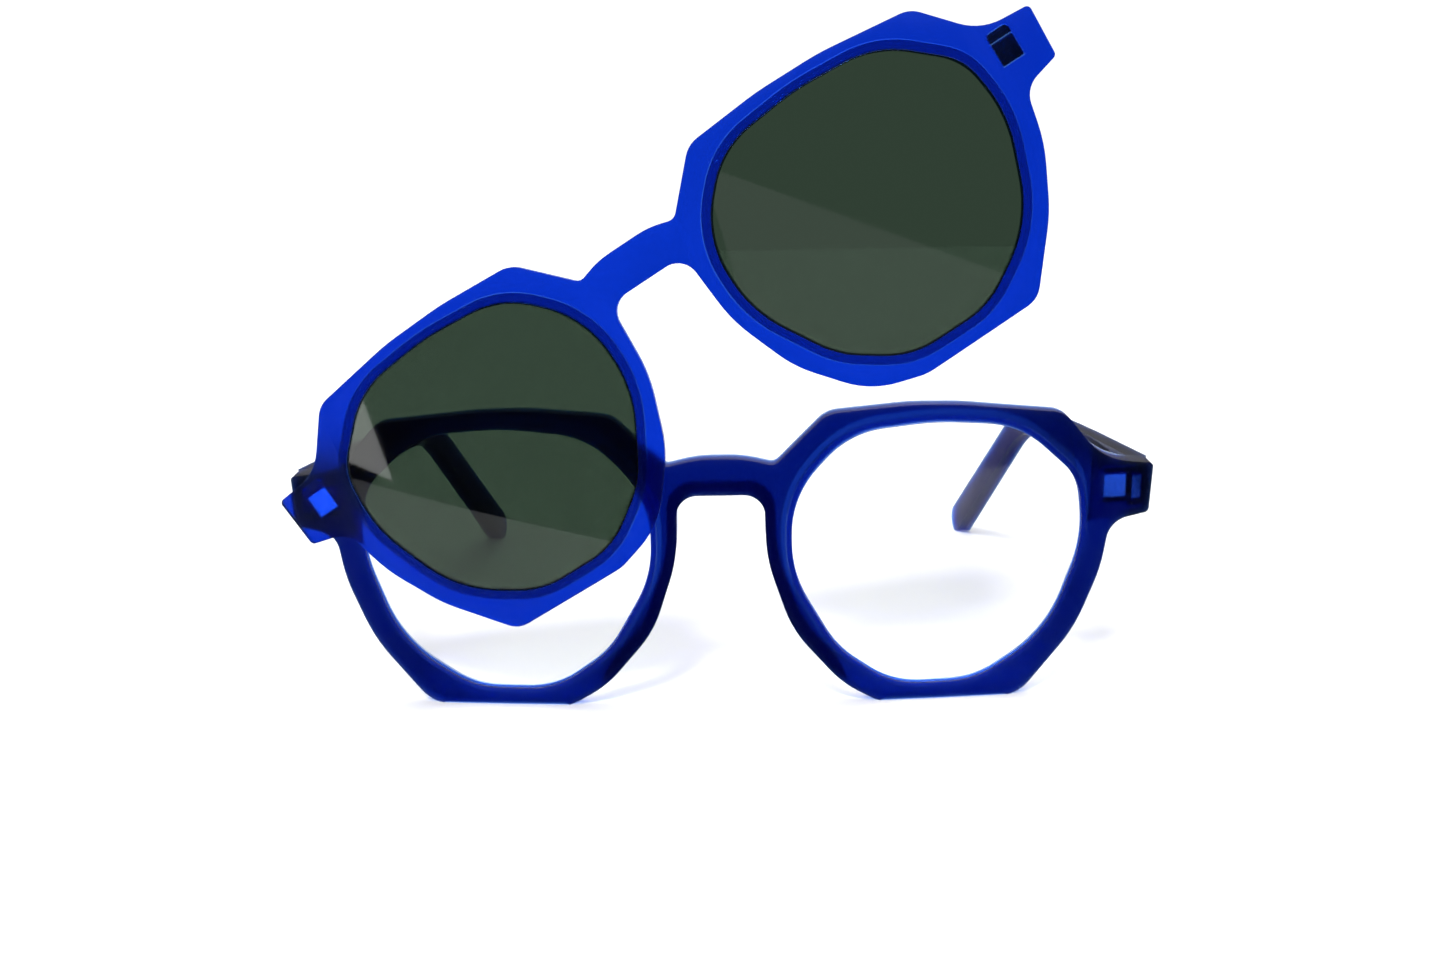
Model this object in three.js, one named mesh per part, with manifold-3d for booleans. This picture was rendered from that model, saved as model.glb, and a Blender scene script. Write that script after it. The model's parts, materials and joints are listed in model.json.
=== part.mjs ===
// Plastic spectacles with a magnetic sun clip. The clip hangs on the left magnet and is swung
// up about it, in front of the spectacles, which stand on their rims and temple tips.
// Millimetres, +Z up, the wearer looks along -Y. Left and right are as seen from the front.
import * as THREE from "three";
import { mergeVertices } from "three/addons/utils/BufferGeometryUtils.js";
import Module from "manifold-3d";

// ---- Driving dimensions ----
// Lenses and rims. Heights in the front are measured from the top corner of the end pieces.
const LENS_WIDTH = 47.4; // opening of the spectacle rim
const LENS_HEIGHT = 43.8;
const LENS_TOP = 8.5;
const BRIDGE = 22.6; // between the two lens openings
const RIM = 3.3; // width of the rim around the opening
const CLIP_LENS_WIDTH = 48.4;
const CLIP_LENS_HEIGHT = 42.9;
const CLIP_GROOVE_DEPTH = 1.4;
const CLIP_OVERHANG = 0.4; // how far the clip's ends reach past the front's
const FACE_RADIUS = 350; // curve of the front and of the clip, seen from above
const LEAN = 6; // degrees that the front's top stands forward
const BRIDGE_TOP = 3.6;
const BRIDGE_BOTTOM = -2.35;
const NOSE_HALF = 7; // half the gap between the rims just under the bridge

// Thicknesses.
const FRONT_THICKNESS = 2.4;
const LENS_THICKNESS = 1.2;
const CLIP_THICKNESS = 1.9;
const CLIP_LENS_THICKNESS = 0.8;
const CLIP_GAP = 0.3; // between the clip and the front
const GROOVE_DEPTH = 0.9; // how far a lens sits in its rim
const FIT = 0.1; // play around a piece that is glued or pressed in

// End pieces.
const END_REACH = 11.4; // from the lens opening to the outer end
const END_HEIGHT = 8.2;
const END_SLOPE = 0.4; // how much narrower the end is at its foot
const FOOT_CUT = 0.25; // flat worn by the mould on the rims' lowest edge

// Magnets, each a small square block.
const MAGNET_INSET = 6; // magnet centre from the outer end
const MAGNET_DROP = 3.7; // magnet centre below the end piece's top corner
const MAGNET_SIDE = 3.8;
const MAGNET_THICKNESS = 1.5;
const MAGNET_WALL = 0.8; // plastic in front of the magnet in the spectacles
const MAGNET_COVER = 0.7; // plug of filler behind it
const PAD_WIDTH = 5; // flat seat over each magnet
const CLIP_MAGNET_THICKNESS = 1;
const DOME_RISE = 1.5; // height of the domed glue well beside the clip's magnet

// Hinges, three knuckles each.
const PIN_RADIUS = 0.7;
const KNUCKLE_RADIUS = 1.45;
const KNUCKLE_HEIGHT = 1.5;
const KNUCKLE_GAP = 0.12;
const PIN_PLAY = 0.1;
const PIN_INSET = 5.1; // pin axis from the outer end
const PIN_SETBACK = 2; // pin axis behind the end piece
const PLATE_THICKNESS = 0.7;
const PLATE_HEIGHT = 5.8;
const LEG_WIDTH = 1.5; // tongue of the front leaf, sunk in the end piece
const LEG_HEIGHT = 3.8;
const LEG_INSET = 2.3; // tongue centre from the outer end
const LEG_COVER = 1.1; // plastic left in front of the tongue
const SCREW_HEAD_RADIUS = 1.25;
const SCREW_HEAD = 0.6;
const LEAF_LENGTH = 8.5; // temple leaf, along the temple
const LEAF_LEG = 1.2;

// Temples.
const TEMPLE_GAP = 0.3; // behind the end piece
const TEMPLE_THICKNESS = 3.2;
const TEMPLE_MID_THICKNESS = 2.8;
const TEMPLE_TIP_THICKNESS = 3.6;
const TEMPLE_FRONT_HEIGHT = 8.2;
const TEMPLE_MID_HEIGHT = 5.6;
const TEMPLE_TIP_HEIGHT = 6.4;
const BEND_REACH = 96; // from the front to the ear bend
const EAR_ANGLE = 35; // degrees that the ear stretch drops
const TEMPLE_SPLAY = 0.9; // outward bow of the temple at its middle
const BEND_TUCK = 2; // how far in the temple is at the ear bend
const TIP_TUCK = 11.5; // and at its tip

// The back of the front: a step all round the outer edge, and a moulded nose flange.
const REAR_STEP = 0.9;
const REAR_STEP_INSET = 1.7; // from the lens opening to the step
const NOSE_FLANGE_DEPTH = 2;
const NOSE_FLANGE_WIDTH = 1.7;

// How the clip hangs, and where the origin lies.
const CLIP_SWING = 32.7; // degrees above its closed place
const ORIGIN_BEHIND = 70.1; // the origin is this far behind the bridge, between the temples

// Smoothness of the facets.
const SAGITTA = 0.015; // most that an arc's facet leaves its curve
const FACE_FACETS = 7; // flats across the front on each side, up to the magnet's seat
const ROUND_SIDES = 20;

// ---- Values that follow ----
const HALF_LENS = LENS_WIDTH / 2;
const HALF_LENS_HEIGHT = LENS_HEIGHT / 2;
const LENS_X = BRIDGE / 2 + HALF_LENS;
const LENS_Z = LENS_TOP - HALF_LENS_HEIGHT;
const END_X = BRIDGE / 2 + LENS_WIDTH + END_REACH;
const MAGNET_X = END_X - MAGNET_INSET;
const MAGNET_Z = -MAGNET_DROP;
const MAGNET_TURN = Math.atan(MAGNET_X / FACE_RADIUS); // how far a magnet's seat faces outwards
const LEAN_RADIANS = THREE.MathUtils.degToRad(LEAN);
const RIM_FOOT = LENS_Z - HALF_LENS_HEIGHT - RIM;

// Inside an end piece, from the front: wall, magnet, plug, and the plate let into its back.
const COVER_FRONT = MAGNET_WALL + MAGNET_THICKNESS + 2 * FIT;
const PLATE_FRONT = COVER_FRONT + MAGNET_COVER + FIT;
const END_THICKNESS = (PLATE_FRONT + PLATE_THICKNESS + FIT) / Math.cos(MAGNET_TURN);
const REACH = 4 * END_X; // longer than any piece, for cutting tools
const ALONG = new THREE.Vector3(1, 0, 0);

// ---- Materials ----
const plastic = (name) =>
  new THREE.MeshStandardMaterial({ name, color: 0x0a24a8, roughness: 0.45, metalness: 0 });
const clearLens = () =>
  new THREE.MeshStandardMaterial({ name: "clear_lens", color: 0xf4f8fa, roughness: 0.05, metalness: 0 });
const tintedLens = () =>
  new THREE.MeshStandardMaterial({ name: "tinted_lens", color: 0x2f4034, roughness: 0.08, metalness: 0 });
const nickel = () =>
  new THREE.MeshStandardMaterial({ name: "nickel", color: 0xb9bec6, roughness: 0.25, metalness: 1 });
const steel = () =>
  new THREE.MeshStandardMaterial({ name: "steel", color: 0x9a9ca0, roughness: 0.35, metalness: 1 });
const filler = () =>
  new THREE.MeshStandardMaterial({ name: "filler", color: 0x1c3fc0, roughness: 0.5, metalness: 0 });

// ---- Solids ----
const wasm = await Module();
wasm.setup();

// A closed three.js geometry as a solid that can be cut and joined.
function solid(geometry, matrix = new THREE.Matrix4()) {
  const plain = geometry.clone().applyMatrix4(matrix);
  plain.deleteAttribute("normal");
  plain.deleteAttribute("uv");
  const merged = mergeVertices(plain, 1e-4);
  return new wasm.Manifold(
    new wasm.Mesh({
      numProp: 3,
      vertProperties: new Float32Array(merged.attributes.position.array),
      triVerts: new Uint32Array(merged.index.array),
    }),
  );
}

// A solid as a named mesh.
function part(name, body, material) {
  const cut = body.getMesh();
  const geometry = new THREE.BufferGeometry();
  geometry.setAttribute("position", new THREE.BufferAttribute(cut.vertProperties, 3));
  geometry.setIndex(new THREE.BufferAttribute(cut.triVerts, 1));
  geometry.computeVertexNormals();
  const mesh = new THREE.Mesh(geometry, material);
  mesh.name = name;
  return mesh;
}

// Points of a closed outline whose corners [x, y, radius] are rounded by arcs.
function roundedOutline(corners) {
  const points = [];
  corners.forEach(([x, y, radius], i) => {
    const here = new THREE.Vector2(x, y);
    const [px, py] = corners.at(i - 1);
    const [nx, ny] = corners[(i + 1) % corners.length];
    const back = new THREE.Vector2(px, py).sub(here);
    const ahead = new THREE.Vector2(nx, ny).sub(here);
    const longest = Math.min(back.length(), ahead.length()) * 0.5;
    const angle = Math.acos(back.normalize().dot(ahead.normalize()));
    const turn = Math.PI - angle;
    const tangent = Math.min(radius * Math.tan(turn / 2), longest);
    if (tangent < 1e-3) {
      points.push(here);
      return;
    }
    const fitted = tangent / Math.tan(turn / 2);
    const middle = back.clone().add(ahead).normalize();
    const centre = here.clone().addScaledVector(middle, fitted / Math.sin(angle / 2));
    const from = here.clone().addScaledVector(back, tangent).sub(centre);
    const side = Math.sign(from.cross(here.clone().addScaledVector(ahead, tangent).sub(centre)));
    const step = 2 * Math.acos(1 - Math.min(SAGITTA / fitted, 0.2));
    const count = Math.max(2, Math.ceil(turn / step));
    for (let k = 0; k <= count; k += 1) {
      const spoke = from.clone().rotateAround(new THREE.Vector2(), (side * turn * k) / count);
      points.push(centre.clone().add(spoke));
    }
  });
  return points;
}

// A prism whose outline is seen from the front, from depth y0 to depth y1.
function frontPrism(points, y0, y1) {
  const options = { depth: y1 - y0, bevelEnabled: false, steps: 1 };
  const geometry = new THREE.ExtrudeGeometry(new THREE.Shape(points), options);
  geometry.rotateX(Math.PI / 2);
  geometry.translate(0, y1, 0);
  return solid(geometry);
}

// A prism whose outline is seen from above, from height z0 to height z1.
function planPrism(points, z0, z1) {
  const options = { depth: z1 - z0, bevelEnabled: false, steps: 1 };
  const geometry = new THREE.ExtrudeGeometry(new THREE.Shape(points), options);
  geometry.translate(0, 0, z0);
  return solid(geometry);
}

// A prism whose outline, given as (y, z), is seen from the side, from x0 to x1.
function sidePrism(points, x0, x1) {
  const options = { depth: x1 - x0, bevelEnabled: false, steps: 1 };
  const geometry = new THREE.ExtrudeGeometry(new THREE.Shape(points), options);
  geometry.rotateX(Math.PI / 2);
  geometry.rotateZ(Math.PI / 2);
  geometry.translate(x0, 0, 0);
  return solid(geometry);
}

// A block between two corners.
function block(x0, x1, y0, y1, z0, z1) {
  const geometry = new THREE.BoxGeometry(x1 - x0, y1 - y0, z1 - z0);
  geometry.translate((x0 + x1) / 2, (y0 + y1) / 2, (z0 + z1) / 2);
  return solid(geometry);
}

// An upright round bar at (x, y).
function upright(radius, x, y, z0, z1) {
  const geometry = new THREE.CylinderGeometry(radius, radius, z1 - z0, ROUND_SIDES);
  geometry.rotateX(Math.PI / 2);
  geometry.translate(x, y, (z0 + z1) / 2);
  return solid(geometry);
}

// ---- The front's curve, seen from above ----
const faceDepth = (x) => (x * x) / (2 * FACE_RADIUS);

// Where the curve's flats meet, from the left end to the right. One flat lies over each magnet.
function facetEdges() {
  const inner = MAGNET_X - PAD_WIDTH / 2;
  const right = [];
  for (let k = 1; k <= FACE_FACETS; k += 1) right.push((inner * k) / FACE_FACETS);
  right.push(MAGNET_X + PAD_WIDTH / 2, END_X + PAD_WIDTH);
  return [...right.map((x) => -x).reverse(), 0, ...right];
}

// All that lies between two depths behind the curved front face.
function curvedLayer(near, far) {
  const edges = facetEdges();
  const front = edges.map((x) => new THREE.Vector2(x, faceDepth(x) + near));
  const rear = edges.map((x) => new THREE.Vector2(x, faceDepth(x) + far)).reverse();
  return planPrism([...front, ...rear], -REACH / 2, REACH / 2);
}

// ---- Outlines, seen from the front ----
// The lens shape. Each corner is a share of the half width and half height, with its radius.
const LENS_CORNERS = [
  [-0.04, 1.01, 40],
  [-0.61, 0.95, 14],
  [-1, 0.49, 16],
  [-1, -0.12, 20],
  [-0.69, -0.71, 16],
  [-0.3, -1.01, 14],
  [0.27, -1.01, 14],
  [0.77, -0.67, 22],
  [1.01, 0.06, 30],
  [0.95, 0.54, 9],
  [0.53, 0.96, 16],
];

// A lens shape on one side, of this width and height, larger by grow all round. Its top is level
// with every other lens's.
function sizedLensOutline(side, width, height, grow) {
  const middle = LENS_TOP - height / 2;
  const corners = LENS_CORNERS.map(([u, v, radius]) => [
    side * (LENS_X + u * (width / 2 + grow)),
    middle + v * (height / 2 + grow),
    radius + grow,
  ]);
  return roundedOutline(side > 0 ? corners : corners.reverse());
}

const lensOutline = (side, grow) => sizedLensOutline(side, LENS_WIDTH, LENS_HEIGHT, grow);
const clipLensOutline = (side, grow) =>
  sizedLensOutline(side, CLIP_LENS_WIDTH, CLIP_LENS_HEIGHT, grow);

// A corner of the outer edge around a lens, as a share of the rim's half width and half height.
function rimCorner(u, v, radius) {
  return [LENS_X + u * (HALF_LENS + RIM), LENS_Z + v * (HALF_LENS_HEIGHT + RIM), radius];
}

// The outer edge of the spectacles and of the clip, right half from the bridge's top round to
// its underside.
function halfOutline() {
  const rimInner = BRIDGE / 2 - RIM;
  const endFoot = -END_HEIGHT;
  return [
    [BRIDGE_TOP, BRIDGE_TOP, 20],
    [rimInner + 0.7, BRIDGE_TOP - 1.25, 1.6],
    rimCorner(-0.67, 0.95, 5),
    rimCorner(-0.19, 0.99, 40),
    rimCorner(0.11, 0.98, 40),
    rimCorner(0.735, 0.9, 5),
    [END_X - 8.5, 1.1, 11],
    [END_X, 0, 0.8],
    [END_X - END_SLOPE, endFoot, 0.8],
    [END_X - 6.9, endFoot - 1.1, 4],
    rimCorner(1, -0.15, 25),
    rimCorner(0.85, -0.56, 25),
    rimCorner(0.51, -1, 6),
    rimCorner(-0.34, -1, 8),
    rimCorner(-0.58, -0.85, 18),
    rimCorner(-0.88, -0.47, 20),
    [NOSE_HALF + 0.2, LENS_Z + 0.4, 25],
    [NOSE_HALF, BRIDGE_BOTTOM, 3.4],
  ];
}

function wholeOutline(right) {
  const left = right.map(([x, z, radius]) => [-x, z, radius]).reverse();
  return roundedOutline([...right, ...left]).reverse();
}

// The clip's outer edge follows the front's, with a softer lower half.
function clipHalfOutline() {
  const end = END_X + CLIP_OVERHANG;
  const rimInner = BRIDGE / 2 - RIM;
  const endFoot = -END_HEIGHT - 0.2;
  return [
    [BRIDGE_TOP + 1, BRIDGE_TOP + 0.2, 20],
    [rimInner + 0.6, BRIDGE_TOP - 1, 1.6],
    rimCorner(-0.69, 0.955, 4.5),
    rimCorner(-0.22, 0.99, 40),
    rimCorner(0.18, 0.98, 40),
    rimCorner(0.735, 0.9, 4.5),
    [end - 8.2, 0.9, 9],
    [end, 0.2, 0.8],
    [end - END_SLOPE, endFoot, 0.8],
    [end - 6.9, endFoot - 1.6, 4],
    rimCorner(0.99, -0.2, 25),
    rimCorner(0.81, -0.57, 25),
    rimCorner(0.5, -0.97, 4),
    rimCorner(-0.25, -0.98, 8),
    rimCorner(-0.57, -0.88, 18),
    rimCorner(-0.86, -0.5, 20),
    [NOSE_HALF + 0.6, LENS_Z - 1.5, 25],
    [NOSE_HALF - 0.2, BRIDGE_BOTTOM - 0.3, 3.4],
  ];
}

// ---- The magnets' stations ----
// A frame of reference on the front face over a magnet: +Y goes straight in, +Z up.
function station(side) {
  const matrix = new THREE.Matrix4().makeRotationZ(side * MAGNET_TURN);
  return matrix.setPosition(side * MAGNET_X, faceDepth(MAGNET_X), MAGNET_Z);
}

// A square block at a magnet's station, from depth y0 to depth y1.
function squareAt(side, width, height, y0, y1) {
  const geometry = new THREE.BoxGeometry(width, y1 - y0, height);
  geometry.translate(0, (y0 + y1) / 2, 0);
  return solid(geometry, station(side));
}

// ---- The hinges, in the front's frame ----
const HINGE_X = END_X - PIN_INSET;
const HINGE_Y = faceDepth(HINGE_X) + END_THICKNESS + PIN_SETBACK;
const HINGE_Z = -END_HEIGHT / 2;
const HINGE_HALF = (3 * KNUCKLE_HEIGHT) / 2 + KNUCKLE_GAP;

// The hinge's own frame stands upright although the front leans.
function hingeFrame() {
  const matrix = new THREE.Matrix4().makeRotationX(-LEAN_RADIANS);
  return matrix.setPosition(HINGE_X, HINGE_Y, HINGE_Z);
}

function knuckle(z0, z1) {
  const eye = upright(KNUCKLE_RADIUS, 0, 0, z0, z1);
  return eye.subtract(upright(PIN_RADIUS + PIN_PLAY, 0, 0, z0 - 1, z1 + 1));
}

// The front leaf's plate and tongue, or the pocket for them when play is given.
function frontPlate(play) {
  const legX = END_X - LEG_INSET - MAGNET_X;
  const inner = HINGE_X - MAGNET_X - KNUCKLE_RADIUS - 0.6 - play;
  const outer = legX + LEG_WIDTH / 2 + play;
  const drop = HINGE_Z - MAGNET_Z;
  const seat = PLATE_THICKNESS + 4 * play;
  const plate = new THREE.BoxGeometry(outer - inner, seat, PLATE_HEIGHT + 2 * play);
  plate.translate((inner + outer) / 2, PLATE_FRONT - play + seat / 2, drop);
  const root = PLATE_FRONT + PLATE_THICKNESS / 2;
  const depth = root - LEG_COVER + play;
  const leg = new THREE.BoxGeometry(LEG_WIDTH + 2 * play, depth, LEG_HEIGHT + 2 * play);
  leg.translate(legX, root - depth / 2, drop);
  return solid(plate, station(1)).add(solid(leg, station(1)));
}

// ---- Pieces of the front ----
// The raised back of the rims, the bridge and the ends, clear of the lens openings.
function rearStep(edge) {
  const layer = curvedLayer(FRONT_THICKNESS - REAR_STEP, FRONT_THICKNESS + REAR_STEP);
  return edge.intersect(layer).subtract(bothSides(frontPrism(lensOutline(1, REAR_STEP_INSET), -5, 25)));
}

// The flange that rests on the nose, along the rims' inner edges and under the bridge.
function noseFlange(edge) {
  const wide = NOSE_FLANGE_WIDTH;
  const low = rimCorner(-0.58, -0.85, 18);
  const half = [
    [NOSE_HALF + wide, BRIDGE_BOTTOM + 1.2, 4.5],
    [NOSE_HALF + 0.2 + wide, LENS_Z + 0.4, 25],
    rimCorner(-0.82, -0.45, 20),
    [low[0] + 1.2, low[1] + 1, 18],
    [low[0] + 2.5, low[1] - 8, 0],
  ];
  const left = half.map(([x, z, radius]) => [-x, z, radius]).reverse();
  const region = frontPrism(roundedOutline([...half, ...left]).reverse(), -5, 25);
  const layer = curvedLayer(FRONT_THICKNESS, FRONT_THICKNESS + REAR_STEP + NOSE_FLANGE_DEPTH);
  return edge.intersect(layer).intersect(region);
}

const mirror = (body) => body.mirror([1, 0, 0]);
const bothSides = (body) => body.add(mirror(body));

// The thicker end piece, which slopes up from the rim behind the outer outline.
function endBlock() {
  const rampFoot = END_X - 11;
  const rampTop = END_X - 9;
  const outer = END_X + PAD_WIDTH;
  const points = [
    new THREE.Vector2(rampFoot, faceDepth(rampFoot) + FRONT_THICKNESS / 2),
    new THREE.Vector2(outer, faceDepth(rampFoot) + FRONT_THICKNESS / 2),
    new THREE.Vector2(outer, faceDepth(outer) + END_THICKNESS + 1),
    new THREE.Vector2(rampTop, faceDepth(rampTop) + END_THICKNESS + 1),
  ];
  const wedge = planPrism(points, -END_HEIGHT - 1.6, 3);
  return wedge.intersect(curvedLayer(0, END_THICKNESS));
}

function grooves(middle, thickness, grow) {
  const layer = curvedLayer(middle - thickness / 2, middle + thickness / 2);
  return bothSides(frontPrism(lensOutline(1, grow), -5, 15).intersect(layer));
}

function frameFront() {
  const edge = frontPrism(wholeOutline(halfOutline()), -5, 25);
  const sheet = curvedLayer(0, FRONT_THICKNESS).add(bothSides(endBlock()));
  const back = rearStep(edge).add(noseFlange(edge));
  const openings = bothSides(frontPrism(lensOutline(1, 0), -5, 25));
  const groove = grooves(FRONT_THICKNESS / 2, LENS_THICKNESS + 2 * FIT, GROOVE_DEPTH + FIT);
  const pocketSide = MAGNET_SIDE + 2 * FIT;
  const pocket = squareAt(1, pocketSide, pocketSide, MAGNET_WALL, END_THICKNESS + 1);
  const holes = bothSides(pocket.add(frontPlate(FIT)));
  const body = edge.intersect(sheet).add(back).subtract(openings);
  return body.subtract(groove).subtract(holes).subtract(tableCut());
}

// What lies under the table's surface, seen in the leaning front's frame.
function tableCut() {
  const geometry = new THREE.BoxGeometry(REACH, REACH, REACH / 2);
  geometry.translate(0, 0, -REACH / 4 + RIM_FOOT * Math.cos(LEAN_RADIANS) + footDepth() + FOOT_CUT);
  return solid(geometry, new THREE.Matrix4().makeRotationX(-LEAN_RADIANS));
}

// How much the front's curve lifts the foot of the rim under the middle of the lens.
function footDepth() {
  return faceDepth(LENS_X) * Math.sin(LEAN_RADIANS);
}

function spectacleLens(side) {
  const half = LENS_THICKNESS / 2;
  const middle = FRONT_THICKNESS / 2;
  const layer = curvedLayer(middle - half, middle + half);
  return frontPrism(lensOutline(side, GROOVE_DEPTH), -5, 15).intersect(layer);
}

function frontMagnet(side) {
  const near = MAGNET_WALL + FIT;
  return squareAt(side, MAGNET_SIDE, MAGNET_SIDE, near, near + MAGNET_THICKNESS);
}

function magnetCover(side) {
  return squareAt(side, MAGNET_SIDE, MAGNET_SIDE, COVER_FRONT, COVER_FRONT + MAGNET_COVER);
}

// The leaf on the front: a plate let into the end piece, a tongue, and two knuckles.
function hingeFront() {
  const eyes = knuckle(HINGE_HALF - KNUCKLE_HEIGHT, HINGE_HALF);
  const lower = knuckle(-HINGE_HALF, -HINGE_HALF + KNUCKLE_HEIGHT);
  const neckBack = -KNUCKLE_RADIUS * 0.7;
  const neckFront = -PIN_SETBACK - 2 * PLATE_THICKNESS;
  const half = KNUCKLE_RADIUS * 0.8;
  const top = block(-half, half, neckFront, neckBack, HINGE_HALF - KNUCKLE_HEIGHT, HINGE_HALF);
  const foot = block(-half, half, neckFront, neckBack, -HINGE_HALF, -HINGE_HALF + KNUCKLE_HEIGHT);
  const knuckles = eyes.add(top).add(lower).add(foot).transform(hingeFrame().elements);
  const ahead = squareAt(1, REACH / 4, REACH / 4, -REACH / 4, PLATE_FRONT + PLATE_THICKNESS / 2);
  return knuckles.subtract(ahead).add(frontPlate(0));
}

// The screw is the hinge's pin. Its slotted head sits on the top knuckle.
function hingeScrew() {
  const headFoot = HINGE_HALF + KNUCKLE_GAP;
  const shaft = upright(PIN_RADIUS, 0, 0, -HINGE_HALF - 0.3, headFoot + 0.1);
  const head = upright(SCREW_HEAD_RADIUS, 0, 0, headFoot, headFoot + SCREW_HEAD);
  const slot = block(-2, 2, -0.15, 0.15, headFoot + SCREW_HEAD / 2, headFoot + 1);
  return shaft.add(head).subtract(slot).transform(hingeFrame().elements);
}

// ---- Pieces of a right temple, in the frame of its hinge: +Y along the temple, +Z up ----
const HINGE_HEIGHT =
  HINGE_Y * Math.sin(LEAN_RADIANS) +
  (HINGE_Z - RIM_FOOT) * Math.cos(LEAN_RADIANS) -
  footDepth() -
  FOOT_CUT;
const TEMPLE_OUTER = PIN_INSET - 0.1;
const TEMPLE_START = -PIN_SETBACK - 1;

// A band along a centreline of [along, across, half width], with rounded bends.
function band(stations, bend) {
  const near = [];
  const far = [];
  stations.forEach(([along, across, half], i) => {
    const [a0, b0] = stations[Math.max(i - 1, 0)];
    const [a1, b1] = stations[Math.min(i + 1, stations.length - 1)];
    const normal = new THREE.Vector2(b0 - b1, a1 - a0).normalize();
    const radius = i === 0 || i === stations.length - 1 ? 0 : bend;
    near.push([along - normal.x * half, across - normal.y * half, radius]);
    far.push([along + normal.x * half, across + normal.y * half, radius]);
  });
  return [near, far];
}

// Side view of the temple, as (y, z).
function templeSide() {
  const ear = THREE.MathUtils.degToRad(EAR_ANGLE);
  const tipHalf = TEMPLE_TIP_HEIGHT / 2;
  const earLength = (HINGE_HEIGHT - tipHalf) / Math.sin(ear) + tipHalf;
  const bend = BEND_REACH - HINGE_Y;
  const tipY = bend + earLength * Math.cos(ear);
  const tipZ = -earLength * Math.sin(ear);
  const stations = [
    [TEMPLE_START, 0, TEMPLE_FRONT_HEIGHT / 2],
    [bend / 2, 0, TEMPLE_MID_HEIGHT / 2],
    [bend, 0, TEMPLE_MID_HEIGHT / 2],
    [tipY, tipZ, tipHalf],
  ];
  const [lower, upper] = band(stations, 30);
  lower.at(-1)[2] = tipHalf;
  upper.at(-1)[2] = tipHalf;
  return roundedOutline([...lower, ...upper.reverse()]);
}

// Plan view of the temple, as (x, y).
function templePlan() {
  const bend = BEND_REACH - HINGE_Y;
  const tip = bend + HINGE_HEIGHT / Math.tan(THREE.MathUtils.degToRad(EAR_ANGLE)) + 10;
  const middle = TEMPLE_OUTER - TEMPLE_THICKNESS / 2;
  const stations = [
    [TEMPLE_START, -middle, TEMPLE_THICKNESS / 2],
    [bend / 2, -middle - TEMPLE_SPLAY, TEMPLE_MID_THICKNESS / 2],
    [bend, -middle + BEND_TUCK, TEMPLE_MID_THICKNESS / 2],
    [tip, -middle + TIP_TUCK, TEMPLE_TIP_THICKNESS / 2],
  ];
  const [lower, upper] = band(stations, 150);
  const loop = roundedOutline([...lower, ...upper.reverse()]);
  return loop.map((p) => new THREE.Vector2(-p.y, p.x));
}

// The temple leaf: a knuckle, an arm, and a plate with a tongue sunk in the temple's inner side.
function hingeTemple(play) {
  const half = KNUCKLE_HEIGHT / 2 + play;
  const face = TEMPLE_OUTER - TEMPLE_THICKNESS;
  const plateX = face - 0.3 - play;
  const plateEnd = face + PLATE_THICKNESS - 0.3 + play;
  const plateStart = KNUCKLE_RADIUS + 0.5;
  const plateHalf = PLATE_HEIGHT / 2 + play;
  const far = plateStart + LEAF_LENGTH + play;
  const plate = block(plateX, plateEnd, plateStart - play, far, -plateHalf, plateHalf);
  const legStart = plateStart + LEAF_LENGTH / 2 - LEAF_LEG - play;
  const leg = block(face, plateEnd + LEAF_LEG, legStart, legStart + 2 * LEAF_LEG + 2 * play, -half, half);
  const arm = block(-0.2, plateEnd - play, KNUCKLE_RADIUS * 0.6, plateStart + 0.4, -half, half);
  return plate.add(leg).add(arm);
}

// The front and the gap behind it, in the hinge's frame, which shapes the temple's butt end.
function frontAndGap() {
  const lean = new THREE.Matrix4().makeRotationX(LEAN_RADIANS);
  const hinge = new THREE.Vector3(HINGE_X, HINGE_Y, HINGE_Z).applyMatrix4(lean).negate();
  return curvedLayer(-REACH / 8, END_THICKNESS + TEMPLE_GAP).transform(lean.setPosition(hinge).elements);
}

function templeArm() {
  const side = sidePrism(templeSide(), -REACH / 4, REACH / 4);
  const plan = planPrism(templePlan(), -REACH / 2, REACH / 2);
  return side.intersect(plan).subtract(hingeTemple(FIT)).subtract(frontAndGap());
}

function hingeTempleLeaf() {
  const eye = knuckle(-KNUCKLE_HEIGHT / 2, KNUCKLE_HEIGHT / 2);
  const bore = upright(PIN_RADIUS + PIN_PLAY, 0, 0, -KNUCKLE_HEIGHT, KNUCKLE_HEIGHT);
  return eye.add(hingeTemple(0).subtract(bore));
}

// ---- Pieces of the clip, in its closed place in front of the spectacles ----
const CLIP_BACK = -CLIP_GAP;
const CLIP_FRONT = CLIP_BACK - CLIP_THICKNESS;

// The domed well above and outside a clip magnet, at the magnet's station.
function glueWell(side, play) {
  const half = MAGNET_SIDE / 2 + play;
  const corners = [
    [-half, MAGNET_SIDE / 2 + FIT - play, 0],
    [half, MAGNET_SIDE / 2 + FIT - play, 0],
    [half, MAGNET_SIDE / 2 + FIT + DOME_RISE + play, half],
    [-half, MAGNET_SIDE / 2 + FIT + DOME_RISE + play, half],
  ];
  const depth = CLIP_MAGNET_THICKNESS + play;
  const options = { depth, bevelEnabled: false, steps: 1 };
  const geometry = new THREE.ExtrudeGeometry(new THREE.Shape(roundedOutline(corners)), options);
  geometry.rotateX(Math.PI / 2);
  geometry.translate(0, CLIP_BACK + play - FIT, 0);
  return solid(geometry, station(side));
}

function clipMagnet(side) {
  const far = CLIP_BACK - FIT;
  return squareAt(side, MAGNET_SIDE, MAGNET_SIDE, far - CLIP_MAGNET_THICKNESS, far);
}

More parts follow.
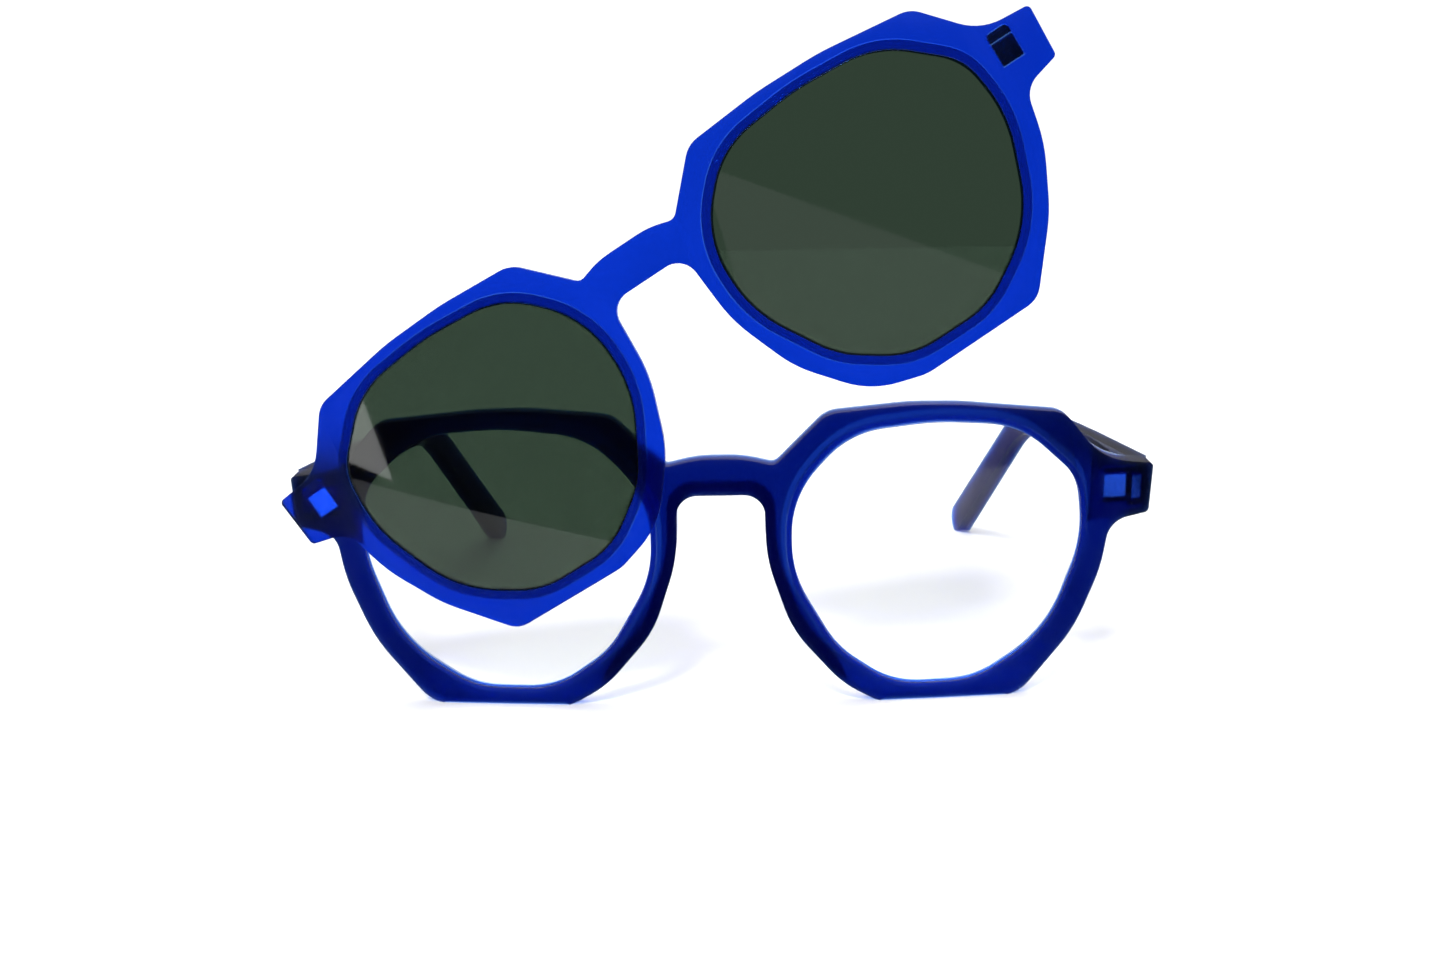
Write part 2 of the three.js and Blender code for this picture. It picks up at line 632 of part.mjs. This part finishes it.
function clipFrame() {
  const middle = (CLIP_FRONT + CLIP_BACK) / 2;
  const edge = frontPrism(wholeOutline(clipHalfOutline()), -10, 25);
  const openings = bothSides(frontPrism(clipLensOutline(1, 0), -10, 25));
  const width = CLIP_LENS_THICKNESS + 2 * FIT;
  const layer = curvedLayer(middle - width / 2, middle + width / 2);
  const seat = frontPrism(clipLensOutline(1, CLIP_GROOVE_DEPTH + FIT), -10, 25);
  const pocketSide = MAGNET_SIDE + 2 * FIT;
  const deep = CLIP_BACK - CLIP_MAGNET_THICKNESS - 2 * FIT;
  const pocket = squareAt(1, pocketSide, pocketSide, deep, 2);
  const body = edge.intersect(curvedLayer(CLIP_FRONT, CLIP_BACK)).subtract(openings);
  const wells = pocket.add(glueWell(1, FIT));
  return body.subtract(bothSides(seat.intersect(layer))).subtract(bothSides(wells));
}

function clipLens(side) {
  const middle = (CLIP_FRONT + CLIP_BACK) / 2;
  const half = CLIP_LENS_THICKNESS / 2;
  const layer = curvedLayer(middle - half, middle + half);
  return frontPrism(clipLensOutline(side, CLIP_GROOVE_DEPTH), -10, 15).intersect(layer);
}

// ---- Assembly ----
const SIDES = [
  ["left", -1],
  ["right", 1],
];

function makeClip() {
  const clip = new THREE.Group();
  clip.add(part("clip_frame", clipFrame(), plastic("clip_plastic")));
  SIDES.forEach(([name, side]) => {
    clip.add(part(`clip_lens_${name}`, clipLens(side), tintedLens()));
    clip.add(part(`clip_magnet_${name}`, clipMagnet(side), nickel()));
    clip.add(part(`clip_potting_${name}`, glueWell(side, 0), filler()));
  });
  return clip;
}

// The clip turns about the square-on line through the left magnet.
function hangClip(clip) {
  const pivot = new THREE.Group();
  pivot.position.set(-MAGNET_X, faceDepth(MAGNET_X), MAGNET_Z);
  const axis = new THREE.Vector3(-MAGNET_X / FACE_RADIUS, -1, 0).normalize();
  pivot.quaternion.setFromAxisAngle(axis, THREE.MathUtils.degToRad(CLIP_SWING));
  clip.position.copy(pivot.position).negate();
  pivot.add(clip);
  return pivot;
}

function makeFront() {
  const front = new THREE.Group();
  front.add(part("frame_front", frameFront(), plastic("frame_plastic")));
  SIDES.forEach(([name, side]) => {
    front.add(part(`lens_${name}`, spectacleLens(side), clearLens()));
    front.add(part(`magnet_front_${name}`, frontMagnet(side), nickel()));
    front.add(part(`magnet_cover_${name}`, magnetCover(side), filler()));
    const hinge = new THREE.Group();
    hinge.scale.x = side;
    hinge.add(part(`hinge_front_${name}`, hingeFront(), steel()));
    hinge.add(part(`hinge_screw_${name}`, hingeScrew(), steel()));
    front.add(hinge);
  });
  front.add(hangClip(makeClip()));
  front.rotation.x = LEAN_RADIANS;
  const lift = -RIM_FOOT * Math.cos(LEAN_RADIANS) - footDepth() - FOOT_CUT;
  front.position.set(0, -ORIGIN_BEHIND, lift);
  return front;
}

function makeTemple(name, side) {
  const temple = new THREE.Group();
  const arm = new THREE.Group();
  arm.add(part(`temple_${name}`, templeArm(), plastic("temple_plastic")));
  arm.add(part(`hinge_temple_${name}`, hingeTempleLeaf(), steel()));
  const hinge = new THREE.Vector3(HINGE_X, HINGE_Y, HINGE_Z).applyAxisAngle(ALONG, LEAN_RADIANS);
  arm.position.set(HINGE_X, hinge.y - ORIGIN_BEHIND, HINGE_HEIGHT);
  temple.add(arm);
  temple.scale.x = side;
  return temple;
}

const spectacles = new THREE.Group();
spectacles.add(makeFront());
SIDES.forEach(([name, side]) => spectacles.add(makeTemple(name, side)));

export default spectacles;
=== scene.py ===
"""Blue plastic spectacles with a magnetic sun clip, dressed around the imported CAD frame.

Every piece but the lenses is its CAD node's solid with softly rounded edges. The lenses are built
again from rings of faces, with the outline and the thickness of their solids. Metres, in the
frame of the CAD. The plastics' refraction numbers are chosen for their look, and are below those
of real plastic.
"""
import json
import math

import bmesh
import bpy
from mathutils import Matrix, Vector, geometry


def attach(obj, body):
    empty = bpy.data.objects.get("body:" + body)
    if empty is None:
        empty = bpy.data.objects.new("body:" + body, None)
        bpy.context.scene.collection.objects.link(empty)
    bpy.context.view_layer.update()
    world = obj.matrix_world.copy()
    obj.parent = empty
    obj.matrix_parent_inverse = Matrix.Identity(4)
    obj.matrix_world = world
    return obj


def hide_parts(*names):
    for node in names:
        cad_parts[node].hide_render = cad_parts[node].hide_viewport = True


MM = 0.001

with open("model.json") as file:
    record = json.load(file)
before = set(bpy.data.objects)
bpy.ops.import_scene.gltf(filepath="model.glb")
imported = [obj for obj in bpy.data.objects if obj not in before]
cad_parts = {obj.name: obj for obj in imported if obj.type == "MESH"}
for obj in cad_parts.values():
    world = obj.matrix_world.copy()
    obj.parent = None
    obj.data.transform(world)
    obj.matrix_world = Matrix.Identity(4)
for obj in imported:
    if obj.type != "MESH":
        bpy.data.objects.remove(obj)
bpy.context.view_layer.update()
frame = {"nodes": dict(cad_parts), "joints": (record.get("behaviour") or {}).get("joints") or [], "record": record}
scene = bpy.context.scene
joints = {j["name"]: j for j in frame["joints"]}
body_of = {
    node: body
    for body, nodes in frame["record"]["behaviour"]["bodies"].items()
    for node in nodes
}
slot_of = {s["node"]: s["material_slot"] for s in frame["record"]["subparts"]}


# ---------------------------------------------------------------- places
# The front leans with its top forward, and its face is a cylinder of this radius.
CLIP_PIVOT = Vector(joints["clip_swing"]["pos_m"])
FRONT_LEAN = math.radians(6)
FACE_RADIUS = 0.35
MAGNET_DROP = 0.0037
PIVOT_DEPTH = CLIP_PIVOT.x**2 / (2 * FACE_RADIUS)
FRONT_TURN = Matrix.Rotation(FRONT_LEAN, 4, "X")
# The middle of the front face, level with a point a little above the magnets: the front's origin.
BRIDGE_POINT = CLIP_PIVOT - FRONT_TURN @ Vector((CLIP_PIVOT.x, PIVOT_DEPTH, -MAGNET_DROP))
FRONT_PLACE = Matrix.Translation(BRIDGE_POINT) @ FRONT_TURN
# The closed clip lies on the front's face; at rest it is swung up about the left magnet.
CLIP_SWING = math.radians(-joints["clip_swing"]["range_deg"][0])
CLIP_AXIS = Vector(joints["clip_swing"]["axis"])
CLIP_PLACE = (
    Matrix.Translation(CLIP_PIVOT)
    @ Matrix.Rotation(CLIP_SWING, 4, CLIP_AXIS)
    @ Matrix.Translation(-CLIP_PIVOT)
    @ FRONT_PLACE
)

# ---------------------------------------------------------------- camera
CAMERA_DISTANCE = 0.2367
CAMERA_SIDE = 0.0004
CAMERA_TILT = math.radians(9.774)
CAMERA_YAW = math.radians(0.74)
CAMERA_ROLL = math.radians(-1.055)
FOCAL_MM = 37.37
SENSOR_MM = 36.0


def make_camera():
    """The camera looks at the bridge from in front and a little above."""
    data = bpy.data.cameras.new("camera")
    data.lens = FOCAL_MM
    data.sensor_width = SENSOR_MM
    camera = bpy.data.objects.new("camera", data)
    scene.collection.objects.link(camera)
    turn = (
        Matrix.Rotation(CAMERA_YAW, 4, "Z")
        @ Matrix.Rotation(math.pi / 2 - CAMERA_TILT, 4, "X")
        @ Matrix.Rotation(CAMERA_ROLL, 4, "Z")
    )
    back = turn @ Vector((CAMERA_SIDE, 0, CAMERA_DISTANCE, 1))
    camera.matrix_world = Matrix.Translation(BRIDGE_POINT + back.to_3d()) @ turn
    scene.camera = camera


# ---------------------------------------------------------------- node helpers
# The part of a noise texture's range that holds nearly all of its values.
NOISE_LOW = 0.3
NOISE_HIGH = 0.7


def new_material(name):
    material = bpy.data.materials.new(name)
    material.use_nodes = True
    tree = material.node_tree
    tree.nodes.clear()
    out = tree.nodes.new("ShaderNodeOutputMaterial")
    return material, tree, out


def noise(tree, scale, detail=3.0):
    """A cloudy grey texture fixed to the piece. scale counts its clouds per metre."""
    coords = tree.nodes.new("ShaderNodeTexCoord")
    texture = tree.nodes.new("ShaderNodeTexNoise")
    texture.inputs["Scale"].default_value = scale
    texture.inputs["Detail"].default_value = detail
    tree.links.new(coords.outputs["Object"], texture.inputs["Vector"])
    return texture.outputs["Fac"]


def spread(tree, source, low, high):
    """The texture's grey values, mapped to run from low to high."""
    ramp = tree.nodes.new("ShaderNodeMapRange")
    ramp.inputs["From Min"].default_value = NOISE_LOW
    ramp.inputs["From Max"].default_value = NOISE_HIGH
    ramp.inputs["To Min"].default_value = low
    ramp.inputs["To Max"].default_value = high
    tree.links.new(source, ramp.inputs["Value"])
    return ramp.outputs["Result"]


def bumps(tree, source, distance, strength):
    bump = tree.nodes.new("ShaderNodeBump")
    bump.inputs["Strength"].default_value = strength
    bump.inputs["Distance"].default_value = distance
    tree.links.new(source, bump.inputs["Height"])
    return bump.outputs["Normal"]


def vary_roughness(tree, shader, texture, low, high):
    tree.links.new(spread(tree, texture, low, high), shader.inputs["Roughness"])


def let_light_in(tree, shader, out, colour):
    """Lamp light passes through the surface, so what lies behind it is lit and its shadow is pale."""
    path = tree.nodes.new("ShaderNodeLightPath")
    clear = tree.nodes.new("ShaderNodeBsdfTransparent")
    clear.inputs["Color"].default_value = (*colour, 1)
    mix = tree.nodes.new("ShaderNodeMixShader")
    tree.links.new(path.outputs["Is Shadow Ray"], mix.inputs[0])
    tree.links.new(shader.outputs["BSDF"], mix.inputs[1])
    tree.links.new(clear.outputs["BSDF"], mix.inputs[2])
    tree.links.new(mix.outputs["Shader"], out.inputs["Surface"])


# ---------------------------------------------------------------- materials
PLASTIC_TINT = (0.9, 0.93, 1)
PLASTIC_GLOSS_TINT = (0.1, 0.2, 0.5)
PLASTIC_GRAIN = 900
PLASTIC_GRAIN_DETAIL = 4
PLASTIC_GRAIN_DEPTH = 0.02 * MM
PLASTIC_GRAIN_STRENGTH = 0.5
PLASTIC_PATCHES = 60
SMOOTHER = 0.04
ROUGHER = 0.05
SKIN_PASSES = (0.85, 0.9, 0.97)
SMEARS = 45
SMEAR_DETAIL = 5
SMEAR = 0.03
METAL_GRAIN = 1500
METAL_SMOOTHER = 0.06
METAL_ROUGHER = 0.08


def tinted_plastic(name, absorb, roughness, ior=1.3):
    """Clear plastic dyed blue all through, with a satin skin. absorb is per metre, per colour."""
    material, tree, out = new_material(name)
    shader = tree.nodes.new("ShaderNodeBsdfPrincipled")
    shader.inputs["Base Color"].default_value = (*PLASTIC_TINT, 1)
    shader.inputs["Transmission Weight"].default_value = 1.0
    shader.inputs["IOR"].default_value = ior
    shader.inputs["Specular Tint"].default_value = (*PLASTIC_GLOSS_TINT, 1)
    shader.inputs["Roughness"].default_value = roughness
    grain = noise(tree, PLASTIC_GRAIN, PLASTIC_GRAIN_DETAIL)
    patches = noise(tree, PLASTIC_PATCHES)
    vary_roughness(tree, shader, patches, roughness - SMOOTHER, roughness + ROUGHER)
    relief = bumps(tree, grain, PLASTIC_GRAIN_DEPTH, PLASTIC_GRAIN_STRENGTH)
    tree.links.new(relief, shader.inputs["Normal"])
    let_light_in(tree, shader, out, SKIN_PASSES)
    most = max(absorb)
    volume = tree.nodes.new("ShaderNodeVolumeAbsorption")
    volume.inputs["Color"].default_value = (*(1 - a / most for a in absorb), 1)
    volume.inputs["Density"].default_value = most
    tree.links.new(volume.outputs["Volume"], out.inputs["Volume"])
    return material


def glass(name, colour, roughness, tint=1.0, ior=1.5):
    """Clear or dyed glass, faintly smeared. tint weakens the white reflection seen face on."""
    material, tree, out = new_material(name)
    shader = tree.nodes.new("ShaderNodeBsdfPrincipled")
    shader.inputs["Base Color"].default_value = (*colour, 1)
    shader.inputs["Transmission Weight"].default_value = 1.0
    shader.inputs["IOR"].default_value = ior
    shader.inputs["Roughness"].default_value = roughness
    shader.inputs["Specular Tint"].default_value = (tint, tint, tint, 1)
    vary_roughness(tree, shader, noise(tree, SMEARS, SMEAR_DETAIL), roughness, roughness + SMEAR)
    let_light_in(tree, shader, out, [c**0.5 for c in colour])
    return material


def metal(name, colour, roughness, metallic=1.0):
    """Metal with a fine grain. Less metallic is a duller plating that shows the light it gets."""
    material, tree, out = new_material(name)
    shader = tree.nodes.new("ShaderNodeBsdfPrincipled")
    shader.inputs["Base Color"].default_value = (*colour, 1)
    shader.inputs["Metallic"].default_value = metallic
    grain = noise(tree, METAL_GRAIN)
    vary_roughness(tree, shader, grain, roughness - METAL_SMOOTHER, roughness + METAL_ROUGHER)
    tree.links.new(shader.outputs["BSDF"], out.inputs["Surface"])
    return material


FRAME_ABSORB = (2400, 1600, 640)
TEMPLE_ABSORB = (2000, 1300, 450)
CLIP_ABSORB = (3400, 1900, 440)
FILLER_ABSORB = (1500, 900, 150)
MATERIALS = {
    "frame_plastic": tinted_plastic("frame_plastic", FRAME_ABSORB, 0.42, 1.2),
    "temple_plastic": tinted_plastic("temple_plastic", TEMPLE_ABSORB, 0.5, 1.15),
    "clip_plastic": tinted_plastic("clip_plastic", CLIP_ABSORB, 0.38),
    "filler": tinted_plastic("filler", FILLER_ABSORB, 0.2),
    "clear_lens": glass("clear_lens", (0.985, 0.99, 0.99), 0.0, 0.5, 1.45),
    # Painted shade: the next material colours the thin dark line at a clear lens's rim, for the shade in the gap
    # at the frame.
    "clear_lens_painted_shade_line": glass("clear_lens_painted_shade_line", (0.05, 0.15, 0.6), 0.3, 0.2),
    "clear_lens_edge": glass("clear_lens_edge", (0.01, 0.045, 0.4), 0.5, 0.1, 1.2),
    "tinted_lens": glass("tinted_lens", (0.027, 0.045, 0.03), 0.01, 0.5),
    # Painted shade: the next material colours the thin dark line at a tinted lens's rim, for the shade in the gap
    # at the frame.
    "tinted_lens_painted_shade_line": glass("tinted_lens_painted_shade_line", (0.001, 0.004, 0.006), 0.2, 0.2),
    "tinted_lens_edge": glass("tinted_lens_edge", (0.01, 0.05, 0.3), 0.4, 0.1, 1.2),
    "nickel": metal("nickel", (0.95, 0.97, 1.0), 0.45, 0.15),
    "hinge_steel": metal("hinge_steel", (0.7, 0.7, 0.72), 0.3),
    "screw_steel": metal("screw_steel", (0.6, 0.6, 0.62), 0.35),
    # Painted shade: the next two materials colour the clip's right magnet and its resin near black, for the dark
    # they show with light behind them.
    "nickel_painted_shade": metal("nickel_painted_shade", (0.03, 0.03, 0.04), 0.3),
    "filler_painted_shade": glass("filler_painted_shade", (0.001, 0.003, 0.012), 0.4, 0.3),
}
# Painted shade: the clip's right magnet and its resin are coloured nearly black, for the dark they show with the
# light behind them. The clip's right magnet and its resin are nearly black on the real object, for a reason
# unknown.
NODE_PAINTED_SHADE = {"clip_magnet_right": "nickel_painted_shade", "clip_potting_right": "filler_painted_shade"}

# ---------------------------------------------------------------- pieces
EDGE_ANGLE = math.radians(32)
SEAM = 2e-6
FLAT_ANGLE = math.radians(0.3)
# The width of each slot's rounded edges, and how many strips of faces round them.
BEVELS = {
    "frame_plastic": (0.45 * MM, 4),
    "temple_plastic": (0.9 * MM, 5),
    "clip_plastic": (0.3 * MM, 3),
    "filler": (0.1 * MM, 2),
    "nickel": (0.25 * MM, 3),
    "hinge_steel": (0.12 * MM, 2),
    "screw_steel": (0.12 * MM, 2),
}
LENS_SLOTS = ("clear_lens", "tinted_lens")
# How far out from a lens's middle its thin line of painted shade, for the gap at the frame, starts and ends.
EDGE_SHARES = {"clear_lens": (0.962, 0.964), "tinted_lens": (0.931, 0.946)}
LENS_POINTS = 160
LENS_RINGS = 20
EDGE_ZONE = 2
# The CAD's face is flats: one across each magnet, these many from the bridge to it, one beyond.
MAGNET_PAD = 0.005
FACE_FLATS = 7
END_REACH = 0.0751


def cleaned(node):
    """A copy of the node's mesh with its seams merged and its flat cuts made whole."""
    mesh = frame["nodes"][node].data.copy()
    mesh.name = node + "_skin"
    work = bmesh.new()
    work.from_mesh(mesh)
    bmesh.ops.remove_doubles(work, verts=work.verts, dist=SEAM)
    bmesh.ops.dissolve_limit(work, angle_limit=FLAT_ANGLE, verts=work.verts, edges=work.edges)
    work.to_mesh(mesh)
    work.free()
    mesh.materials.clear()
    return mesh


def lens_skin(node, place):
    """The lens on its true curve: rings of faces from the middle out to the CAD lens's edge."""
    source = frame["nodes"][node].data
    inverse = place.inverted()
    points = [inverse @ v.co for v in source.vertices]
    knots = face_knots()
    depths = [p.y - chord_depth(p.x, knots) for p in points]
    near, far = min(depths), max(depths)
    flat = [Vector((p.x, p.z)) for p in points]
    hull = [flat[i] for i in geometry.convex_hull_2d(flat)]
    outline = even_loop(hull, LENS_POINTS)
    middle = sum(outline, Vector((0, 0))) / len(outline)
    work = bmesh.new()
    shares = EDGE_SHARES[slot_of[node]]
    front, back = [lens_layer(work, outline, middle, shares, d, place) for d in (near, far)]
    for k in range(LENS_POINTS):
        after = (k + 1) % LENS_POINTS
        wall = work.faces.new((front[k], front[after], back[after], back[k]))
        wall.material_index = EDGE_ZONE
    bmesh.ops.recalc_face_normals(work, faces=work.faces)
    mesh = bpy.data.meshes.new(node + "_skin")
    work.to_mesh(mesh)
    work.free()
    return mesh


def lens_layer(work, outline, middle, shares, depth, place):
    """One face of a lens; its outermost ring is returned.

    Past the first share of the way out lies a thin line of painted shade, for the gap between lens and frame, and
    past the second the edge that sits in the groove.
    """

    def vertex(flat):
        return work.verts.new(place @ Vector((flat.x, face_depth(flat.x) + depth, flat.y)))

    inner = None
    hub = vertex(middle)
    inside = [shares[0] * ring / LENS_RINGS for ring in range(1, LENS_RINGS + 1)]
    for share in [*inside, shares[1], (1 + shares[1]) / 2, 1.0]:
        outer = [vertex(middle + (p - middle) * share) for p in outline]
        zone = (share > shares[0]) + (share > shares[1])  # face, painted shade line, edge
        for k in range(LENS_POINTS):
            after = (k + 1) % LENS_POINTS
            if inner is None:
                face = work.faces.new((hub, outer[k], outer[after]))
            else:
                face = work.faces.new((inner[k], outer[k], outer[after], inner[after]))
            face.material_index = zone
        inner = outer
    return inner


def even_loop(corners, count):
    """Points at even steps round a closed line."""
    closed = [*corners, corners[0]]
    spans = [(b - a).length for a, b in zip(closed, closed[1:])]
    step = sum(spans) / count
    points = []
    start, k = 0.0, 0
    for n in range(count):
        goal = n * step
        while start + spans[k] < goal:
            start += spans[k]
            k += 1
        points.append(closed[k].lerp(closed[k + 1], (goal - start) / spans[k]))
    return points


def face_depth(x):
    """How far back the front's curved face lies at x from its middle."""
    return x * x / (2 * FACE_RADIUS)


def face_knots():
    """Where the CAD's flats meet, seen from the front."""
    inner = abs(CLIP_PIVOT.x) - MAGNET_PAD / 2
    right = [inner * k / FACE_FLATS for k in range(1, FACE_FLATS + 1)]
    right += [abs(CLIP_PIVOT.x) + MAGNET_PAD / 2, END_REACH]
    return [-x for x in reversed(right)] + [0.0] + right


def chord_depth(x, knots):
    """How deep the CAD's flats lie at x."""
    for low, high in zip(knots, knots[1:]):
        if low <= x <= high:
            share = (x - low) / (high - low)
            return face_depth(low) * (1 - share) + face_depth(high) * share
    return face_depth(x)


def refined(node):
    """The node's solid with rounded edges and smooth faces, in its material."""
    slot = slot_of[node]
    is_lens = slot in LENS_SLOTS
    if is_lens:
        mesh = lens_skin(node, CLIP_PLACE if body_of[node] == "clip" else FRONT_PLACE)
    else:
        mesh = cleaned(node)
    piece = bpy.data.objects.new(node + "_skin", mesh)
    scene.collection.objects.link(piece)
    # For the clip's right magnet and its resin, the material chosen here is painted shade.
    mesh.materials.append(MATERIALS[NODE_PAINTED_SHADE.get(node, slot)])
    if is_lens:
        # The lens's second material is painted shade, for the gap at its rim.
        mesh.materials.append(MATERIALS[slot + "_painted_shade_line"])
        mesh.materials.append(MATERIALS[slot + "_edge"])
    mesh.shade_smooth()
    if is_lens:
        mesh.set_sharp_from_angle(angle=EDGE_ANGLE)
    else:
        width, segments = BEVELS[slot]
        bevel = piece.modifiers.new("edges", "BEVEL")
        bevel.width = width
        bevel.segments = segments
        bevel.limit_method = "ANGLE"
        bevel.angle_limit = EDGE_ANGLE
        bevel.harden_normals = True
        bevel.use_clamp_overlap = True
    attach(piece, body_of[node])
    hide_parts(node)


# ---------------------------------------------------------------- stage
TABLE_EDGE = -0.16
TABLE_BACK = 4.0
TABLE_SIDE = 3.0
TABLE_COLOUR = (0.86, 0.86, 0.87)
TABLE_ROUGHNESS = 0.6
TABLE_GLOW = 0.1
# How bright the world is ahead of the front, behind it, and as mirrored by the pieces.
ROOM_LIGHT = 0.05
STUDIO_LIGHT = 1.15
MIRRORED_SHARE = 0.5
# The dim room turns into the studio between these two values of a direction's Y.
ROOM_ENDS = -0.3
STUDIO_STARTS = 0.7


def make_stage():
    """A plain pale table that ends a little in front of the piece, so lenses mirror the room."""
    work = bmesh.new()
    corners = [
        (-TABLE_SIDE, TABLE_EDGE, 0),
        (TABLE_SIDE, TABLE_EDGE, 0),
        (TABLE_SIDE, TABLE_BACK, 0),
        (-TABLE_SIDE, TABLE_BACK, 0),
    ]
    work.faces.new([work.verts.new(corner) for corner in corners])
    mesh = bpy.data.meshes.new("table")
    work.to_mesh(mesh)
    work.free()
    table = bpy.data.objects.new("table", mesh)
    scene.collection.objects.link(table)
    material, tree, out = new_material("table_white")
    shader = tree.nodes.new("ShaderNodeBsdfPrincipled")
    shader.inputs["Base Color"].default_value = (*TABLE_COLOUR, 1)
    shader.inputs["Roughness"].default_value = TABLE_ROUGHNESS
    shader.inputs["Emission Color"].default_value = (1, 1, 1, 1)
    shader.inputs["Emission Strength"].default_value = TABLE_GLOW
    tree.links.new(shader.outputs["BSDF"], out.inputs["Surface"])
    mesh.materials.append(material)


def make_world():
    """A bright studio behind and above, and a dim room on the side that the front faces."""
    world = bpy.data.worlds.new("studio")
    world.use_nodes = True
    scene.world = world
    tree = world.node_tree
    back = tree.nodes["Background"]
    coords = tree.nodes.new("ShaderNodeTexCoord")
    parts = tree.nodes.new("ShaderNodeSeparateXYZ")
    tree.links.new(coords.outputs["Generated"], parts.inputs["Vector"])
    depth = tree.nodes.new("ShaderNodeMapRange")
    depth.interpolation_type = "SMOOTHSTEP"
    depth.inputs["From Min"].default_value = ROOM_ENDS
    depth.inputs["From Max"].default_value = STUDIO_STARTS
    depth.inputs["To Min"].default_value = ROOM_LIGHT
    depth.inputs["To Max"].default_value = STUDIO_LIGHT
    tree.links.new(parts.outputs["Y"], depth.inputs["Value"])
    path = tree.nodes.new("ShaderNodeLightPath")
    seen = tree.nodes.new("ShaderNodeMix")
    seen.data_type = "FLOAT"
    tree.links.new(path.outputs["Is Camera Ray"], seen.inputs[0])
    tree.links.new(depth.outputs["Result"], seen.inputs[2])
    seen.inputs[3].default_value = STUDIO_LIGHT
    mirrored = tree.nodes.new("ShaderNodeMapRange")
    mirrored.inputs["To Min"].default_value = 1.0
    mirrored.inputs["To Max"].default_value = MIRRORED_SHARE
    tree.links.new(path.outputs["Is Reflection Ray"], mirrored.inputs["Value"])
    both = tree.nodes.new("ShaderNodeMath")
    both.operation = "MULTIPLY"
    tree.links.new(seen.outputs[0], both.inputs[0])
    tree.links.new(mirrored.outputs["Result"], both.inputs[1])
    tree.links.new(both.outputs["Value"], back.inputs["Strength"])
    back.inputs["Color"].default_value = (1, 1, 1, 1)


def make_card(name, place, width, height, power):
    """A glowing card that stands in the dim room and faces the front; a lens mirrors it."""
    lamp = bpy.data.lights.new(name, "AREA")
    lamp.shape = "RECTANGLE"
    lamp.size = width
    lamp.size_y = height
    lamp.energy = power
    card = bpy.data.objects.new(name, lamp)
    scene.collection.objects.link(card)
    card.location = place
    card.rotation_euler = (math.pi / 2, 0, 0)
    card.visible_camera = False


def make_sun(name, tilt_back, tilt_side, strength, spread_angle):
    """A soft light from far away, as wide as spread_angle."""
    lamp = bpy.data.lights.new(name, "SUN")
    lamp.angle = math.radians(spread_angle)
    lamp.energy = strength
    sun = bpy.data.objects.new(name, lamp)
    scene.collection.objects.link(sun)
    sun.location = (0, 0, 1)
    sun.rotation_euler = (math.radians(tilt_back), math.radians(tilt_side), 0)


# Each sun: name, tilt back and tilt sideways in degrees, strength, width in degrees. The first
# lights the table from above and behind. The second shines through the front walls onto the
# magnets, from too high to be mirrored.
SUNS = [
    ("soft_top", -22, 6, 2.0, 80),
    ("front_fill", 44, -10, 3.2, 12),
]
# Each card: name, place, width, height, power. They are the pale bands in the clip's lenses, and
# their places suit this camera: from another side the bands lie elsewhere or are gone.
CARDS = [
    ("card_right", (0.4, -1.07, 0), 0.8, 0.32, 0.6),
    ("card_left", (-0.37, -0.5, -0.05), 0.1, 0.16, 0.3),
]

make_camera()
for node in sorted(frame["nodes"]):
    refined(node)
make_stage()
make_world()
for sun in SUNS:
    make_sun(*sun)
for card in CARDS:
    make_card(*card)
scene.view_settings.view_transform = "Standard"
